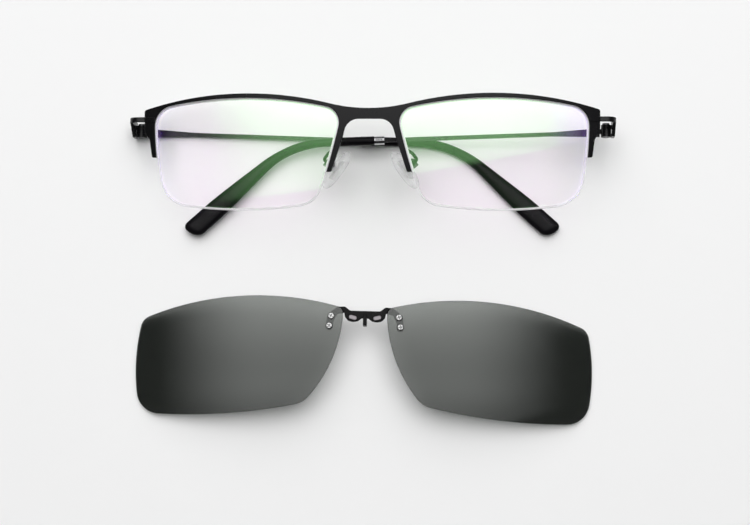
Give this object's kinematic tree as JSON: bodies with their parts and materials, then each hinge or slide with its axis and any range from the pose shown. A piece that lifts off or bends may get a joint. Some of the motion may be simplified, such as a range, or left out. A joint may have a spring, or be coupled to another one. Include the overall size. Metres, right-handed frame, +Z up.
{
  "type": "half-rim glasses with magnetic clip-on shade",
  "caption": "Half-rim glasses lying on their folded temples, with the rimless sunglass shade that clips to their bridge by magnets beside them.",
  "frame": {"origin": "middle of the foot of the box round the whole set, on the table that it lies on", "axes": "+X to the viewer's right, which is the wearer's left; +Y from the nose pads towards the brow; +Z up from the table, out of the lenses' front faces"},
  "size_m": [0.146, 0.0968, 0.0258],
  "materials": {
    "black_metal": "satin black",
    "bush_nylon": "clear",
    "clip_lens": "smoke green, mirror smooth",
    "collar_steel": "polished",
    "cord_nylon": "clear",
    "dark_steel": "blackened",
    "lens_plastic": "clear, with a green anti-reflection coat",
    "liner_nylon": "clear",
    "magnet": "nickel plated",
    "pad_silicone": "clear, glossy",
    "screw_steel": "bright",
    "tip_plastic": "glossy black"
  },
  "bodies": {
    "front": {"front_frame": "black_metal", "left_lens": "lens_plastic", "right_lens": "lens_plastic", "left_rim_liner": "liner_nylon", "right_rim_liner": "liner_nylon", "left_lens_cord": "cord_nylon", "right_lens_cord": "cord_nylon", "left_bridge_magnet": "magnet", "right_bridge_magnet": "magnet", "left_pad_arm": "black_metal", "right_pad_arm": "black_metal", "left_pad_screw": "screw_steel", "right_pad_screw": "screw_steel", "left_end_piece": "black_metal", "right_end_piece": "black_metal", "left_hinge_screw": "dark_steel", "right_hinge_screw": "dark_steel"},
    "left_side": {"left_temple": "black_metal", "left_temple_collar": "collar_steel", "left_temple_tip": "tip_plastic"},
    "right_side": {"right_temple": "black_metal", "right_temple_collar": "collar_steel", "right_temple_tip": "tip_plastic"},
    "left_pad": {"left_nose_pad": "pad_silicone", "left_pad_insert": "screw_steel"},
    "right_pad": {"right_nose_pad": "pad_silicone", "right_pad_insert": "screw_steel"},
    "clip": {"clip_bridge": "black_metal", "left_clip_lens": "clip_lens", "right_clip_lens": "clip_lens", "left_clip_magnet": "magnet", "right_clip_magnet": "magnet", "clip_lens_screws": "screw_steel", "clip_lens_nuts": "screw_steel", "clip_lens_bushes": "bush_nylon"}
  },
  "joints": [
    {"name": "left_temple_fold", "type": "hinge", "parent": "front", "child": "left_side", "pos_m": [0.0704, 0.03951, 0.01013], "axis": [0, -1, 0], "range_deg": [0, 90]},
    {"name": "right_temple_fold", "type": "hinge", "parent": "front", "child": "right_side", "pos_m": [-0.0702, 0.03951, 0.00276], "axis": [0, 1, 0], "range_deg": [0, 87]},
    {"name": "left_pad_rock", "type": "hinge", "parent": "front", "child": "left_pad", "pos_m": [0.01168, 0.02806, 0.01427], "axis": [-0.4688, -0.1574, 0.8692], "range_deg": [-10, 10]},
    {"name": "right_pad_rock", "type": "hinge", "parent": "front", "child": "right_pad", "pos_m": [-0.01223, 0.02806, 0.01302], "axis": [0.3753, -0.1574, 0.9134], "range_deg": [-10, 10]},
    {"name": "clip_lift", "type": "slide", "parent": "front", "child": "clip", "axis": [0, 0, 1], "range_m": [0, 0.08]}
  ]
}
